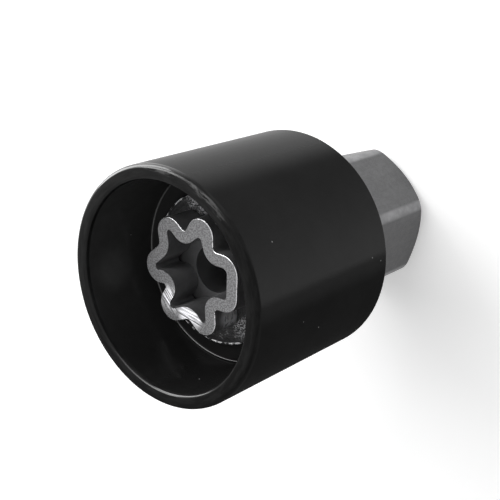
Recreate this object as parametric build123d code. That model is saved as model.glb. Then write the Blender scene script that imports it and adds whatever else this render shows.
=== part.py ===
from build123d import *
import os
from math import asin, atan2, cos, degrees, hypot, radians, sin, tan

# Key for locking wheel nuts, in millimetres. The steel key has a hexagon that a wheel
# wrench turns, a round body, and a closed wavy ridge that fits the groove of its nut.
# A plastic sleeve is pressed over the body and guards the wheel around the ridge.
# The origin is the middle of the hexagon's end face, and +Z runs towards the open mouth.

# Hexagon
HEX_ACROSS_FLATS = 19.0
HEX_LENGTH = 19.7
HEX_CORNER_ANGLE = 5.5        # one corner's direction, from +X
HEX_CORNER_RADIUS = 2.2
HEX_END_RADIUS = 8.9          # circle that the turned chamfer leaves on the end face
HEX_CHAMFER_ANGLE = 45.0      # from the end face
HEX_ROOT_CHAMFER = 0.5        # where the shank meets the body

# Round body behind the sleeve's floor, and the narrower boss that passes through it
BODY_RADIUS = 13.4
BODY_LENGTH = 13.3
BODY_CHAMFER = 0.4
BOSS_RADIUS = 10.7
BOSS_LENGTH = 3.7
BOSS_CHAMFER = 0.32

# Hole drilled down the middle for the end of the wheel stud
STUD_HOLE_RADIUS = 3.3
STUD_HOLE_DEPTH = 15.5
DRILL_POINT_ANGLE = 118.0

# Coded ridge: arcs along the middle of its wall, joined by tangents, counter-clockwise.
# Each has its centre's direction and distance from the axis and its radius. A crest bulges
# outwards, and a valley inwards. The last value thickens a crest's wall on the inside.
RIDGE_HEIGHT = 4.4
RIDGE_WALL = 1.86
RIDGE_BEVEL = 0.14
CREST, VALLEY = 1, -1
RIDGE_ARCS = [
    (5.6, 5.44, 1.70, CREST, 0.0),
    (36.5, 6.54, 1.52, VALLEY, 0.0),
    (64.0, 6.19, 1.33, CREST, 0.9),
    (89.4, 6.81, 1.45, VALLEY, 0.0),
    (114.7, 6.54, 1.27, CREST, 0.0),
    (139.2, 7.78, 1.85, VALLEY, 0.0),
    (166.3, 6.08, 1.38, CREST, 0.0),
    (192.8, 5.68, 1.20, VALLEY, 0.0),
    (220.2, 5.88, 1.35, CREST, 0.0),
    (250.5, 7.03, 1.79, VALLEY, 0.0),
    (276.9, 5.75, 1.23, CREST, 0.0),
    (306.3, 5.97, 1.43, VALLEY, 0.0),
    (335.3, 5.55, 1.34, CREST, 0.0),
]

# Plastic sleeve. Its inside leans outwards a little towards the mouth.
SLEEVE_CLEARANCE = 0.02       # radial, between the sleeve and the steel that it is pressed on
SLEEVE_WALL = 2.58            # of the tube round the body
MOUTH_WALL = 1.98             # of the cup at its mouth
FLOOR_THICKNESS = 2.0
CUP_DEPTH = 12.0
CUP_DRAFT_ANGLE = 2.0
CUP_CORNER_CHAMFER = 0.35
LIP_ROUND = 0.7               # outside
LIP_CHAMFER = 0.25            # inside
REAR_CHAMFER = 0.3

# Heights and radii that follow from the sizes above
root_z = HEX_LENGTH
shoulder_z = root_z + BODY_LENGTH
face_z = shoulder_z + BOSS_LENGTH
floor_z = shoulder_z + FLOOR_THICKNESS
mouth_z = floor_z + CUP_DEPTH
hex_corner_reach = HEX_ACROSS_FLATS / 2 / cos(radians(30))
body_bore = BODY_RADIUS + SLEEVE_CLEARANCE
boss_bore = BOSS_RADIUS + SLEEVE_CLEARANCE
sleeve_radius = body_bore + SLEEVE_WALL
mouth_radius = sleeve_radius - MOUTH_WALL
cup_floor_radius = mouth_radius - CUP_DEPTH * tan(radians(CUP_DRAFT_ANGLE))


def turned(points, rounds=()):
    """Solid turned about Z from a closed profile of (radius, height) corners.

    rounds pairs a corner of the profile with the radius that rounds it.
    """
    profile = make_face(Polyline(*points, close=True))
    for corner, radius in rounds:
        vertex = profile.vertices().sort_by_distance((*corner, 0))[0]
        profile = fillet(vertex, radius)
    return revolve(Plane.XZ * profile, Axis.Z)


def distance_from_axis(point):
    return hypot(point.X, point.Y)


def hexagon():
    """Hexagonal shank with rounded corners and a turned chamfer round its end face."""
    section = RegularPolygon(HEX_ACROSS_FLATS / 2, 6, major_radius=False)
    section = fillet(section.vertices(), HEX_CORNER_RADIUS)
    shank = extrude(Rot(0, 0, HEX_CORNER_ANGLE) * section, HEX_LENGTH)
    spread = HEX_LENGTH / tan(radians(HEX_CHAMFER_ANGLE))
    cone = turned([
        (0, 0),
        (HEX_END_RADIUS, 0),
        (HEX_END_RADIUS + spread, HEX_LENGTH),
        (0, HEX_LENGTH),
    ])
    return shank & cone


def ridge_outline(side):
    """Face inside the ridge's outer outline (side = 1) or its inner one (side = -1)."""
    arcs = []
    for angle, distance, radius, bend, thickening in RIDGE_ARCS:
        reach = distance - (thickening if side < 0 else 0)
        centre = Vector(reach * cos(radians(angle)), reach * sin(radians(angle)))
        arcs.append((centre, bend * radius + side * RIDGE_WALL / 2))

    # Heading of the tangent that leaves each arc for the next one. A signed radius puts
    # the outline on the right of its centre for a crest, and on the left for a valley.
    headings = []
    for (here, r_here), (there, r_there) in zip(arcs, arcs[1:] + arcs[:1]):
        step = there - here
        slant = asin((r_here - r_there) / step.length)
        headings.append(atan2(step.Y, step.X) + slant)

    path = Curve()
    previous_end = None
    first_start = None
    for i, (centre, radius) in enumerate(arcs):
        arrive, leave = headings[i - 1], headings[i]
        turn = (degrees(leave - arrive) + 180) % 360 - 180
        start_angle = degrees(arrive) - (90 if radius > 0 else -90)
        arc = CenterArc(centre, abs(radius), start_angle, turn)
        if previous_end is None:
            first_start = arc @ 0
        else:
            path += Line(previous_end, arc @ 0)
        path += arc
        previous_end = arc @ 1
    path += Line(previous_end, first_start)
    return make_face(path.edges())


def ridge():
    """Closed wavy ridge that stands on the boss's face, with its top edges bevelled."""
    section = ridge_outline(1) - ridge_outline(-1)
    wall = extrude(Pos(0, 0, face_z) * section, RIDGE_HEIGHT)
    return chamfer(wall.faces().sort_by(Axis.Z)[-1].edges(), RIDGE_BEVEL)


def key_body():
    """The whole steel key: hexagon, round body, boss, ridge and drilled hole."""
    body = turned([
        (0, root_z),
        (BODY_RADIUS - BODY_CHAMFER, root_z),
        (BODY_RADIUS, root_z + BODY_CHAMFER),
        (BODY_RADIUS, shoulder_z - BODY_CHAMFER),
        (BODY_RADIUS - BODY_CHAMFER, shoulder_z),
        (BOSS_RADIUS, shoulder_z),
        (BOSS_RADIUS, face_z - BOSS_CHAMFER),
        (BOSS_RADIUS - BOSS_CHAMFER, face_z),
        (0, face_z),
    ])
    steel = hexagon() + body
    rear_edges = steel.edges().filter_by_position(Axis.Z, root_z, root_z)
    hex_root = [e for e in rear_edges if distance_from_axis(e @ 0.5) < hex_corner_reach]
    steel = chamfer(hex_root, HEX_ROOT_CHAMFER) + ridge()
    point_depth = STUD_HOLE_RADIUS / tan(radians(DRILL_POINT_ANGLE / 2))
    hole = turned([
        (0, face_z),
        (STUD_HOLE_RADIUS, face_z),
        (STUD_HOLE_RADIUS, face_z - STUD_HOLE_DEPTH),
        (0, face_z - STUD_HOLE_DEPTH - point_depth),
    ])
    return steel - hole


def sleeve():
    """Plastic sleeve: a tube over the body, a floor on its shoulder and an open cup."""
    draft = tan(radians(CUP_DRAFT_ANGLE))
    lip = (sleeve_radius, mouth_z)
    return turned([
        (body_bore, root_z),
        (sleeve_radius - REAR_CHAMFER, root_z),
        (sleeve_radius, root_z + REAR_CHAMFER),
        lip,
        (mouth_radius + LIP_CHAMFER, mouth_z),
        (mouth_radius - LIP_CHAMFER * draft, mouth_z - LIP_CHAMFER),
        (cup_floor_radius + CUP_CORNER_CHAMFER * draft, floor_z + CUP_CORNER_CHAMFER),
        (cup_floor_radius - CUP_CORNER_CHAMFER, floor_z),
        (boss_bore, floor_z),
        (boss_bore, shoulder_z),
        (body_bore, shoulder_z),
    ], [(lip, LIP_ROUND)])


os.makedirs("parts", exist_ok=True)
export_step(key_body(), "parts/key_body.step")
export_step(sleeve(), "parts/sleeve.step")
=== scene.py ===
import math

import bpy
from mathutils import Matrix, Vector


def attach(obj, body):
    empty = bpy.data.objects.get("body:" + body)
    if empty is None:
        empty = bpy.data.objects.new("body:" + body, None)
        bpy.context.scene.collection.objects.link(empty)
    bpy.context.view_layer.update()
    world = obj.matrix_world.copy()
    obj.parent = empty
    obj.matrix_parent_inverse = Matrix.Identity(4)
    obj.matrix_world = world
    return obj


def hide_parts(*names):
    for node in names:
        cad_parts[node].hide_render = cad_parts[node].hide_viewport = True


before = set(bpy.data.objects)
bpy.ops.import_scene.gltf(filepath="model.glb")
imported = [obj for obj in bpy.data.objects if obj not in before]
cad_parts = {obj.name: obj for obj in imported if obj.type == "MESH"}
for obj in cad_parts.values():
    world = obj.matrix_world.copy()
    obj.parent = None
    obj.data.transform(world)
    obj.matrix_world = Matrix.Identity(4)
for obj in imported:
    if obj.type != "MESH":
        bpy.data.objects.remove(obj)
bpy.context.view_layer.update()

# ---------------------------------------------------------------- key body
# One piece of machined steel with a dull grey coat. Its hexagon takes the wheel wrench, and
# its wavy ridge fits the groove of the nut. Use has rubbed the edges, and one part of the
# ridge's top, down to bare metal.

MM = 0.001
key_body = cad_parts["key_body"]
hexagon_length = 19.7 * MM
hexagon_corner = 10.62 * MM
boss_radius = 10.7 * MM
face_height = 36.7 * MM
ridge_top = 41.1 * MM
ridge_bevel = 0.14 * MM
ridge_reach = 7.2 * MM
stud_hole_radius = 3.3 * MM

hexagon_grey = 0.109
face_grey = 0.052
ridge_wall_grey = 0.24
ridge_top_grey = 0.222
# Painted light: the hollow and the hole get paler tones than the face, against their shade
hollow_painted_light_grey = 0.12
hole_painted_light_grey = 0.35
scratch_grey = 0.05
bare_steel = 0.8
bright_steel = 1.0


def new_finish(name, metallic):
    """New material, its node tree and its Principled BSDF."""
    finish = bpy.data.materials.new(name)
    finish.use_nodes = True
    shader = finish.node_tree.nodes["Principled BSDF"]
    shader.inputs["Metallic"].default_value = metallic
    return finish, finish.node_tree, shader


def feed(tree, socket, value):
    """Gives an input socket a value, or the socket that feeds it."""
    if isinstance(value, bpy.types.NodeSocket):
        tree.links.new(value, socket)
    else:
        socket.default_value = value


def calc(tree, operation, first, second=0.0):
    node = tree.nodes.new("ShaderNodeMath")
    node.operation = operation
    feed(tree, node.inputs[0], first)
    feed(tree, node.inputs[1], second)
    return node.outputs[0]


def times(tree, first, second):
    return calc(tree, "MULTIPLY", first, second)


def either(tree, first, second):
    """The stronger of two masks."""
    return calc(tree, "MAXIMUM", first, second)


def spread(tree, value, low, high, to_low=0.0, to_high=1.0):
    """Smooth ramp from to_low at low to to_high at high."""
    node = tree.nodes.new("ShaderNodeMapRange")
    node.interpolation_type = "SMOOTHSTEP"
    for name, number in (("Value", value), ("From Min", low), ("From Max", high),
                         ("To Min", to_low), ("To Max", to_high)):
        feed(tree, node.inputs[name], number)
    return node.outputs[0]


def between(tree, value, low, high, soft):
    """Mask of the values from low to high, with soft ends."""
    return times(tree, spread(tree, value, low - soft, low + soft),
                 spread(tree, value, high + soft, high - soft))


def over(tree, mask, below, above):
    """Value that goes from below to above as the mask goes from 0 to 1."""
    node = tree.nodes.new("ShaderNodeMix")
    node.data_type = "FLOAT"
    feed(tree, node.inputs[0], mask)
    feed(tree, node.inputs[2], below)
    feed(tree, node.inputs[3], above)
    return node.outputs[0]


def varied(tree, tone, mask, share):
    """Tone that changes by this share, down and up, as the mask goes from 0 to 1."""
    return times(tree, tone, over(tree, mask, 1 - share, 1 + share))


def close_to(tree, place, point, near, far):
    """Mask that is 1 within near of a point and 0 beyond far, all in millimetres."""
    node = tree.nodes.new("ShaderNodeVectorMath")
    node.operation = "DISTANCE"
    tree.links.new(place, node.inputs[0])
    node.inputs[1].default_value = [c * MM for c in point]
    return spread(tree, node.outputs["Value"], far * MM, near * MM)


def drawn_out(tree, place, direction, lengths):
    """Coordinates for noise that is drawn out along a direction, across it and upwards.

    The direction is in degrees from +X.
    """
    node = tree.nodes.new("ShaderNodeMapping")
    node.vector_type = "TEXTURE"
    node.inputs["Rotation"].default_value = (0, 0, math.radians(direction))
    node.inputs["Scale"].default_value = lengths
    tree.links.new(place, node.inputs["Vector"])
    return node.outputs[0]


def round_axis(tree, place, lengthways):
    """Distance from the axis, Y, Z, and coordinates for noise that runs round the axis."""
    axes = tree.nodes.new("ShaderNodeSeparateXYZ")
    tree.links.new(place, axes.inputs[0])
    x, y, z = axes.outputs
    squares = calc(tree, "ADD", calc(tree, "POWER", x, 2.0), calc(tree, "POWER", y, 2.0))
    reach = calc(tree, "SQRT", squares)
    along = times(tree, calc(tree, "ARCTAN2", y, x), lengthways * 12 * MM)
    joined = tree.nodes.new("ShaderNodeCombineXYZ")
    for socket, value in zip(joined.inputs, (along, reach, z)):
        tree.links.new(value, socket)
    return reach, y, z, joined.outputs[0]


# Patches, streaks and grain of both finishes: noise of one size, cut between two levels
patches = bpy.data.node_groups.new("patches", "ShaderNodeTree")
for name, kind in (("Vector", "NodeSocketVector"), ("Scale", "NodeSocketFloat"),
                   ("Low", "NodeSocketFloat"), ("High", "NodeSocketFloat")):
    patches.interface.new_socket(name, in_out="INPUT", socket_type=kind)
patches.interface.new_socket("Mask", in_out="OUTPUT", socket_type="NodeSocketFloat")
given = patches.nodes.new("NodeGroupInput").outputs
noise = patches.nodes.new("ShaderNodeTexNoise")
noise.inputs["Detail"].default_value = 3.0
noise.inputs["Roughness"].default_value = 0.6
patches.links.new(given["Vector"], noise.inputs["Vector"])
patches.links.new(given["Scale"], noise.inputs["Scale"])
cut = spread(patches, noise.outputs[0], given["Low"], given["High"])
patches.links.new(cut, patches.nodes.new("NodeGroupOutput").inputs["Mask"])


def patch(tree, place, scale, low, high):
    node = tree.nodes.new("ShaderNodeGroup")
    node.node_tree = patches
    for name, value in (("Vector", place), ("Scale", scale), ("Low", low), ("High", high)):
        feed(tree, node.inputs[name], value)
    return node.outputs["Mask"]


# The coat, drawn lengthways on the hexagon; its corners are worn bright and carry a painted
# highlight
steel, tree, shader = new_finish("coated_steel", 1.0)
place = tree.nodes.new("ShaderNodeTexCoord").outputs["Object"]
reach, _, height, turned = round_axis(tree, place, 0.08)
grain = patch(tree, place, 5200.0, 0.35, 0.65)
cloud = patch(tree, place, 330.0, 0.3, 0.7)
drawn = patch(tree, drawn_out(tree, place, 0, (1, 1, 25)), 2600.0, 0.3, 0.7)
tone = over(tree, drawn, hexagon_grey * 0.96, hexagon_grey * 1.04)
tone = varied(tree, tone, grain, 0.06)
tone = varied(tree, tone, cloud, 0.08)
tone = varied(tree, tone, patch(tree, place, 1100.0, 0.35, 0.65), 0.06)
# Painted highlight: the band along each rounded corner is made lighter, as well as worn
on_corner = times(tree, spread(tree, reach, hexagon_corner - 0.16 * MM, hexagon_corner),
                  spread(tree, height, hexagon_length, hexagon_length - 0.5 * MM))
corner_wear_and_highlight_tone = over(tree, patch(tree, place, 700.0, 0.3, 0.7),
                   hexagon_grey * 1.7, hexagon_grey * 2.3)
tone = over(tree, on_corner, tone, corner_wear_and_highlight_tone)
roughness = over(tree, cloud, 0.36, 0.46)

# Turned face of the boss: dark, with bright specks where the coat has rubbed through, and two
# spots of brighter specks that are painted highlight
on_face = between(tree, height, face_height - 0.05 * MM, face_height + 0.05 * MM, 0.02 * MM)
specks = patch(tree, place, 4200.0, 0.48, 0.6)
rubbed_and_highlit = times(tree, patch(tree, place, 420.0, 0.5, 0.66), specks)
# Painted highlight: two spots of bright specks, added on top of the rubbed specks
upper_highlight_spot = either(tree, close_to(tree, place, (-1.9, 9.3, 36.7), 0.4, 1.5),
                    close_to(tree, place, (0.1, 8.2, 36.7), 0.8, 1.8))
upper_highlight_specks = times(tree, upper_highlight_spot, patch(tree, place, 4400.0, 0.43, 0.6))
lower_highlight_spot = close_to(tree, place, (3.4, -7.8, 36.7), 0.3, 2.6)
lower_highlight_specks = times(tree, lower_highlight_spot, times(tree, specks, 0.75))
rubbed_and_highlit = either(tree, either(tree, rubbed_and_highlit, upper_highlight_specks), lower_highlight_specks)
rubbed_and_highlit = times(tree, rubbed_and_highlit, spread(tree, reach, ridge_reach, ridge_reach + 0.6 * MM))
cut_rings = patch(tree, turned, 5200.0, 0.35, 0.65)
face_tone = over(tree, cut_rings, face_grey * 0.8, face_grey * 1.2)
face_tone = varied(tree, face_tone, grain, 0.3)
face_tone = over(tree, rubbed_and_highlit, face_tone, bare_steel * 0.85)
tone = over(tree, on_face, tone, face_tone)
roughness = over(tree, on_face, roughness, over(tree, rubbed_and_highlit, 0.42, 0.6))

# Edge of the boss, worn bright in dashes, and wider at one place
wide_wear = close_to(tree, place, (1.5, -10.6, 36.7), 4, 7)
edge_start = over(tree, wide_wear, boss_radius - 0.42 * MM, boss_radius - 0.49 * MM)
on_edge = times(tree, spread(tree, reach, edge_start, calc(tree, "ADD", edge_start, 0.05 * MM)),
                spread(tree, height, face_height - 0.2 * MM, face_height - 0.14 * MM))
dashes = times(tree, on_edge, patch(tree, place, 1000.0, 0.5, 0.56))
tone = over(tree, dashes, tone, bright_steel)
roughness = over(tree, dashes, roughness, 0.85)

# Walls of the ridge, as milled: darker on the inside, and at one place made bright in streaks,
# which is painted light
on_wall = spread(tree, height, face_height + 0.04 * MM, face_height + 0.1 * MM)
facing = tree.nodes.new("ShaderNodeVectorMath")
facing.operation = "DOT_PRODUCT"
tree.links.new(place, facing.inputs[0])
normal = tree.nodes.new("ShaderNodeNewGeometry").outputs["Normal"]
tree.links.new(normal, facing.inputs[1])
outwards = facing.outputs["Value"]
wall_tone = spread(tree, outwards, -0.5 * MM, 1.5 * MM, ridge_wall_grey * 0.8, ridge_wall_grey)
wall_tone = varied(tree, wall_tone, cloud, 0.15)
streaks = patch(tree, drawn_out(tree, place, 90, (7, 1, 1)), 2600.0, 0.36, 0.5)
# Painted light: this patch of wall is made bright, in streaks
lit_streaked_patch = close_to(tree, place, (2.8, -5.9, 38.2), 0.9, 2.4)
wall_tone = over(tree, lit_streaked_patch, wall_tone, over(tree, streaks, 0.38, bright_steel))
tone = over(tree, on_wall, tone, wall_tone)
roughness = over(tree, on_wall, roughness, 0.6)

# Bevel round the ridge's top, polished and rounded by the nuts on its outer side
on_bevel = spread(tree, height, ridge_top - 0.16 * MM, ridge_top - 0.12 * MM)
outer_side = spread(tree, calc(tree, "SUBTRACT", outwards, ridge_top * 0.7),
                    -0.5 * MM, 1.5 * MM)
polished = times(tree, outer_side, patch(tree, place, 1500.0, 0.3, 0.5))
tone = over(tree, on_bevel, tone, over(tree, polished, ridge_top_grey * 0.25, bare_steel))
roughness = over(tree, on_bevel, roughness, over(tree, outer_side, 0.7, 0.25))
up_bevel = calc(tree, "SUBTRACT", height, ridge_top - ridge_bevel)
up_bevel = calc(tree, "DIVIDE", up_bevel, ridge_bevel)
arch = times(tree, up_bevel, calc(tree, "SUBTRACT", 1.0, up_bevel))
arch = calc(tree, "MAXIMUM", arch, 0.0)

# Top of the ridge: stippled, and rubbed down to bright scratched metal at one side
on_top = spread(tree, height, ridge_top - 0.03 * MM, ridge_top - 0.01 * MM)
stipple = patch(tree, place, 4600.0, 0.42, 0.58)
top_tone = over(tree, stipple, ridge_top_grey * 0.66, ridge_top_grey * 1.25)
half_worn = close_to(tree, place, (-4.7, -3.0, 41.1), 0.4, 2.6)
side_scratches = patch(tree, drawn_out(tree, place, -60, (14, 1, 1)), 2800.0, 0.44, 0.56)
top_tone = over(tree, times(tree, half_worn, side_scratches), top_tone, bright_steel)
worn = close_to(tree, place, (-1.5, -5.0, 41.1), 1.5, 2.6)
fine = patch(tree, drawn_out(tree, place, -24.4, (18, 1, 1)), 3600.0, 0.42, 0.58)
deep = patch(tree, drawn_out(tree, place, -24.4, (26, 1, 1)), 2000.0, 0.58, 0.61)
worn_tone = over(tree, deep, over(tree, fine, 0.55, 0.95), scratch_grey)
top_tone = over(tree, worn, top_tone, worn_tone)
tone = over(tree, on_top, tone, top_tone)
roughness = over(tree, on_top, roughness,
                 over(tree, either(tree, worn, half_worn), 0.4, 1.0))

# The hollow inside the ridge and the drilled hole, given paler tones than the boss face as
# painted light against their shade
in_hollow = times(tree, on_face, spread(tree, reach, 6.2 * MM, 5.8 * MM))
tone = over(tree, in_hollow, tone, hollow_painted_light_grey)
roughness = over(tree, in_hollow, roughness, 0.6)
in_hole = times(tree, spread(tree, reach, stud_hole_radius + 0.03 * MM, stud_hole_radius),
                spread(tree, height, face_height, face_height - 0.05 * MM))
tone = over(tree, in_hole, tone, hole_painted_light_grey)

colour = tree.nodes.new("ShaderNodeCombineColor")
feed(tree, colour.inputs["Red"], tone)
feed(tree, colour.inputs["Green"], tone)
feed(tree, colour.inputs["Blue"], times(tree, tone, 1.02))
tree.links.new(colour.outputs[0], shader.inputs["Base Color"])
tree.links.new(roughness, shader.inputs["Roughness"])
bump = tree.nodes.new("ShaderNodeBump")
bump.inputs["Strength"].default_value = 0.35
bump.inputs["Distance"].default_value = 0.02 * MM
pitted = calc(tree, "ADD", grain, times(tree, on_top, stipple))
tree.links.new(pitted, bump.inputs["Height"])
rounding = tree.nodes.new("ShaderNodeBump")
rounding.inputs["Distance"].default_value = ridge_bevel * math.sqrt(2)
tree.links.new(arch, rounding.inputs["Height"])
tree.links.new(bump.outputs[0], rounding.inputs["Normal"])
tree.links.new(rounding.outputs[0], shader.inputs["Normal"])
key_body.data.materials.clear()
key_body.data.materials.append(steel)

# ------------------------------------------------------------------ sleeve
# One moulding in glossy black plastic, pressed over the steel body. It has rounded lips
# that keep the key from scratching the wheel, and they are a little scuffed.

sleeve_radius = 16.0 * MM
sleeve_rear = 19.7 * MM
sleeve_length = 27.3 * MM
mouth_radius = 14.02 * MM
cup_depth = 12.0 * MM
cup_floor_radius = 13.6 * MM
floor_thickness = 2.0 * MM
boss_bore = 10.72 * MM
body_bore = 13.42 * MM
sleeve_mouth = sleeve_rear + sleeve_length
cup_floor = sleeve_mouth - cup_depth
shoulder = cup_floor - floor_thickness
steps_round = 192

outer_lip_round = 0.7 * MM
inner_lip_round = 0.42 * MM
cup_corner_round = 0.28 * MM
boss_bore_round = 0.12 * MM
rear_round = 0.35 * MM

# Painted light and shade inside the cup, and a painted reflection on its wall
cup_painted_light_grey = 0.045
cup_painted_reflection_grey = 0.068
scuff_grey = 0.075
speck_grey = 0.24


def edit_faces(piece, wanted):
    """Goes into edit mode with just the faces selected that pass the test."""
    bpy.ops.object.mode_set(mode="EDIT")
    bpy.ops.mesh.select_mode(type="FACE")
    bpy.ops.mesh.select_all(action="DESELECT")
    bpy.ops.object.mode_set(mode="OBJECT")
    for face in piece.data.polygons:
        face.select = wanted(face)
    bpy.ops.object.mode_set(mode="EDIT")


def round_ring(piece, radius, z, size, steps):
    """Rounds the ring of edges at this radius and height."""
    bpy.ops.object.mode_set(mode="EDIT")
    bpy.ops.mesh.select_mode(type="EDGE")
    bpy.ops.mesh.select_all(action="DESELECT")
    bpy.ops.object.mode_set(mode="OBJECT")
    on_ring = [abs(corner.co.z - z) < 0.005 * MM
               and abs(corner.co.xy.length - radius) < 0.02 * MM
               for corner in piece.data.vertices]
    for edge in piece.data.edges:
        edge.select = all(on_ring[i] for i in edge.vertices)
    bpy.ops.object.mode_set(mode="EDIT")
    bpy.ops.mesh.bevel(offset=size, offset_type="OFFSET", segments=steps, profile=0.5,
                       affect="EDGES")
    bpy.ops.object.mode_set(mode="OBJECT")


def sink(depth, scale=1.0):
    """Extrudes the selected face down by this depth and scales it about the axis."""
    bpy.ops.mesh.extrude_region_move(TRANSFORM_OT_translate={"value": (0, 0, -depth)})
    bpy.ops.transform.resize(value=(scale, scale, 1), center_override=(0, 0, 0))


bpy.ops.object.select_all(action="DESELECT")
bpy.ops.mesh.primitive_cylinder_add(vertices=steps_round, radius=sleeve_radius,
                                    depth=sleeve_length,
                                    location=(0, 0, sleeve_rear + sleeve_length / 2))
sleeve = bpy.context.object
sleeve.name = "sleeve_moulding"
bpy.ops.object.transform_apply(location=True, rotation=True, scale=True)

# The cup and the hole for the boss, from the mouth
edit_faces(sleeve, lambda face: face.normal.z > 0.9)
bpy.ops.mesh.inset(thickness=sleeve_radius - mouth_radius)
sink(cup_depth, cup_floor_radius / mouth_radius)
bpy.ops.mesh.inset(thickness=cup_floor_radius - boss_bore)
sink(floor_thickness)
bpy.ops.mesh.delete(type="ONLY_FACE")
bpy.ops.object.mode_set(mode="OBJECT")

# The bore for the body, from the rear, joined to the hole for the boss
edit_faces(sleeve, lambda face: face.normal.z < -0.9)
bpy.ops.mesh.inset(thickness=sleeve_radius - body_bore)
sink(sleeve_rear - shoulder)
bpy.ops.mesh.inset(thickness=body_bore - boss_bore)
bpy.ops.mesh.delete(type="ONLY_FACE")
bpy.ops.mesh.select_all(action="SELECT")
bpy.ops.mesh.remove_doubles(threshold=0.01 * MM)
bpy.ops.mesh.normals_make_consistent(inside=False)
bpy.ops.object.mode_set(mode="OBJECT")

round_ring(sleeve, sleeve_radius, sleeve_mouth, outer_lip_round, 8)
round_ring(sleeve, mouth_radius, sleeve_mouth, inner_lip_round, 6)
round_ring(sleeve, cup_floor_radius, cup_floor, cup_corner_round, 5)
round_ring(sleeve, boss_bore, cup_floor, boss_bore_round, 3)
round_ring(sleeve, sleeve_radius, sleeve_rear, rear_round, 5)
bpy.ops.object.shade_smooth_by_angle(angle=math.radians(35))
weighted = sleeve.modifiers.new("even_shading", "WEIGHTED_NORMAL")
weighted.keep_sharp = True
bpy.ops.object.modifier_apply(modifier=weighted.name)

plastic, tree, shader = new_finish("gloss_black_plastic", 0.0)
shader.inputs["Specular IOR Level"].default_value = 0.0
shader.inputs["Roughness"].default_value = 0.5
shader.inputs["Coat Roughness"].default_value = 0.13
place = tree.nodes.new("ShaderNodeTexCoord").outputs["Object"]
reach, across, height, rubbed_round = round_axis(tree, place, 0.25)
tone = over(tree, patch(tree, place, 160.0, 0.3, 0.7), 0.013, 0.015)

# Handling has dulled one side of it, and the gloss fades along the other
glossy_side = spread(tree, across, -2.5 * MM, -1.1 * MM)
gloss = over(tree, glossy_side, spread(tree, across, -5 * MM, -2.5 * MM, 0.02, 0.11),
             spread(tree, across, 12.5 * MM, -2.5 * MM, 0.045, 0.3))
gloss = over(tree, spread(tree, across, 11.3 * MM, 14.3 * MM), gloss, 0.32)

# The cup's inside: painted shade on the side the lamps light, paler towards the other side, a
# painted reflection on its left wall, and glossy rings round its floor
inside = times(tree, spread(tree, reach, mouth_radius + 0.1 * MM, mouth_radius),
               spread(tree, height, cup_floor - 0.1 * MM, cup_floor))
# Painted shade and light: darker towards -Y, the wall the lamps light, paler towards +Y, with a
# painted reflection spot
cup_painted_light = spread(tree, across, -13.5 * MM, 8 * MM, cup_painted_light_grey * 0.2, cup_painted_light_grey)
cup_painted_reflection_spot = close_to(tree, place, (-13.6, 1.6, 42.2), 0.8, 4.2)
cup_painted_light = over(tree, cup_painted_reflection_spot, cup_painted_light, cup_painted_reflection_grey)
cup_painted_light = varied(tree, cup_painted_light, patch(tree, place, 700.0, 0.3, 0.7), 0.05)
tone = over(tree, inside, tone, cup_painted_light)
floor_corner = spread(tree, reach, cup_floor_radius - 0.4 * MM, cup_floor_radius - 0.2 * MM)
boss_edge = spread(tree, reach, boss_bore + 0.35 * MM, boss_bore + 0.2 * MM)
rings = times(tree, spread(tree, height, cup_floor + 0.5 * MM, cup_floor + 0.3 * MM),
              either(tree, floor_corner, boss_edge))
gloss = over(tree, inside, gloss, over(tree, rings, 0.35, 1.0))

# Lip: its inner edge, outer edge and flat shine differently, and hands have dulled one side
on_lip = spread(tree, height, sleeve_mouth - 0.85 * MM, sleeve_mouth - 0.65 * MM)
lip_tone = over(tree, patch(tree, rubbed_round, 1600.0, 0.4, 0.6), 0.01, 0.016)
tone = over(tree, on_lip, tone, lip_tone)
inner_gloss = over(tree, close_to(tree, place, (-1.8, -13.9, 46.8), 0, 11), 0.25, 1.0)
outer_gloss = over(tree, glossy_side, 0.05, 1.0)
flat_gloss = spread(tree, across, -10 * MM, 12 * MM, 0.05, 0.22)
lip_gloss = over(tree, spread(tree, reach, 14.9 * MM, 15.1 * MM), inner_gloss, outer_gloss)
on_flat = spread(tree, height, sleeve_mouth - 0.05 * MM, sleeve_mouth - 0.02 * MM)
lip_gloss = over(tree, on_flat, lip_gloss, flat_gloss)
rubbed_lip = close_to(tree, place, (11.5, 11, 47), 3.5, 8)
lip_gloss = over(tree, rubbed_lip, lip_gloss, 0.15)
held_lip = close_to(tree, place, (15.7, 2, 46.7), 5.5, 9)
lip_gloss = over(tree, held_lip, lip_gloss, 0.05)
gloss = over(tree, on_lip, gloss, lip_gloss)

# Scuffs along the lip's outer edge
outer_edge = times(tree, between(tree, reach, 15.1 * MM, 15.8 * MM, 0.2 * MM),
                   spread(tree, height, sleeve_mouth - 0.5 * MM, sleeve_mouth - 0.2 * MM))
scuffed = times(tree, outer_edge, close_to(tree, place, (8, 13, 47), 4, 9))
scuffed = times(tree, scuffed, patch(tree, rubbed_round, 2400.0, 0.53, 0.63))
tone = over(tree, scuffed, tone, scuff_grey)
gloss = over(tree, scuffed, gloss, 0.2)

# A few specks of dust
dots = tree.nodes.new("ShaderNodeTexVoronoi")
dots.inputs["Scale"].default_value = 330.0
tree.links.new(place, dots.inputs["Vector"])
on_speck = spread(tree, dots.outputs["Distance"], 0.036, 0.026)
tone = over(tree, on_speck, tone, speck_grey)

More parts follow.
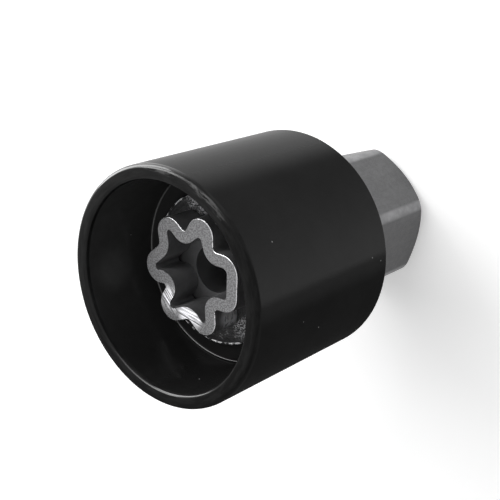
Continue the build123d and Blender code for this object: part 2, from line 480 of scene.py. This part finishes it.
colour = tree.nodes.new("ShaderNodeCombineColor")
for channel in ("Red", "Green", "Blue"):
    feed(tree, colour.inputs[channel], tone)
tree.links.new(colour.outputs[0], shader.inputs["Base Color"])
tree.links.new(gloss, shader.inputs["Coat Weight"])
bump = tree.nodes.new("ShaderNodeBump")
bump.inputs["Strength"].default_value = 0.12
bump.inputs["Distance"].default_value = 0.01 * MM
ripple = patch(tree, place, 900.0, 0.2, 0.8)
tree.links.new(calc(tree, "ADD", ripple, scuffed), bump.inputs["Height"])
tree.links.new(bump.outputs[0], shader.inputs["Normal"])
sleeve.data.materials.append(plastic)
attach(sleeve, "root")
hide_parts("sleeve")

# ------------------------------------------------------------------- floor
# A plain white studio floor, far wider than the key. The camera and shiny surfaces see it a
# little brighter than the lamps make it, and more so far from them, so that it is white all
# round the key's shadow.

floor_width = 3.0
floor_white = 0.92
near_glow, far_glow = 0.35, 0.7


def shown_white(tree):
    """Mask of the rays from the camera and from shiny or clear surfaces."""
    path = tree.nodes.new("ShaderNodeLightPath")
    mirrored = either(tree, path.outputs["Is Glossy Ray"], path.outputs["Is Transmission Ray"])
    return either(tree, path.outputs["Is Camera Ray"], mirrored)


bpy.ops.object.select_all(action="DESELECT")
bpy.ops.mesh.primitive_plane_add(size=floor_width, location=(0, 0, 0))
floor = bpy.context.object
floor.name = "floor"
white, tree, shader = new_finish("white_floor", 0.0)
shader.inputs["Base Color"].default_value = (floor_white, floor_white, floor_white, 1)
shader.inputs["Roughness"].default_value = 0.9
shader.inputs["Specular IOR Level"].default_value = 0.0
shader.inputs["Emission Strength"].default_value = 1.0
place = tree.nodes.new("ShaderNodeTexCoord").outputs["Object"]
away = round_axis(tree, place, 1.0)[0]
added = times(tree, shown_white(tree), spread(tree, away, 0.12, 0.7, near_glow, far_glow))
glow = tree.nodes.new("ShaderNodeCombineColor")
for channel in ("Red", "Green", "Blue"):
    feed(tree, glow.inputs[channel], added)
tree.links.new(glow.outputs[0], shader.inputs["Emission Color"])
floor.data.materials.append(white)

# ------------------------------------------------------------------- light
# A wide soft box on the key's upper side in the picture, a low one behind it that brightens
# the lips, and a large weak one in front. The surround sheds little light, but the camera
# and the shiny surfaces see it white.

lamp_aim = Vector((0, 0, 0.03))
surround_light = 0.3


def lamp(name, azimuth, elevation, distance, width, depth, power):
    """Soft box that points at the key's middle. Its width lies level."""
    a, e = math.radians(azimuth), math.radians(elevation)
    away = Vector((math.cos(e) * math.cos(a), math.cos(e) * math.sin(a), math.sin(e)))
    light = bpy.data.lights.new(name, "AREA")
    light.shape = "RECTANGLE"
    light.size = width
    light.size_y = depth
    light.energy = power
    holder = bpy.data.objects.new(name, light)
    holder.location = lamp_aim + away * distance
    holder.rotation_euler = (-away).to_track_quat("-Z", "Y").to_euler()
    bpy.context.scene.collection.objects.link(holder)


lamp("wide_box", 106, 43, 0.6, 0.8, 0.22, 3.3)
lamp("low_box", 138, 13, 0.6, 0.6, 0.28, 3.4)
lamp("fill_box", 0, 55, 0.8, 1.4, 1.0, 0.9)

world = bpy.data.worlds.new("surround")
bpy.context.scene.world = world
world.use_nodes = True
tree = world.node_tree
background = tree.nodes["Background"]
background.inputs["Color"].default_value = (1, 1, 1, 1)
strength = over(tree, shown_white(tree), surround_light, 1.0)
tree.links.new(strength, background.inputs["Strength"])

# ------------------------------------------------------------------ camera
# The camera looks down into the mouth from one side. It is rolled over, so that the key,
# which stands on its hexagon, seems to lie down.

camera_place = Vector((94.289, 26.058, 132.054)) * MM
camera_right = Vector((0.7468, -0.1588, -0.6458))
camera_up = Vector((0.0, 0.9711, -0.2388))
camera_back = camera_right.cross(camera_up)

turn = Matrix((camera_right, camera_up, camera_back)).transposed().to_4x4()
lens = bpy.data.cameras.new("camera")
lens.sensor_width = 36.0
lens.lens = 74.109
camera = bpy.data.objects.new("camera", lens)
camera.matrix_world = Matrix.Translation(camera_place) @ turn
bpy.context.scene.collection.objects.link(camera)
bpy.context.scene.camera = camera
bpy.context.scene.view_settings.view_transform = "Standard"
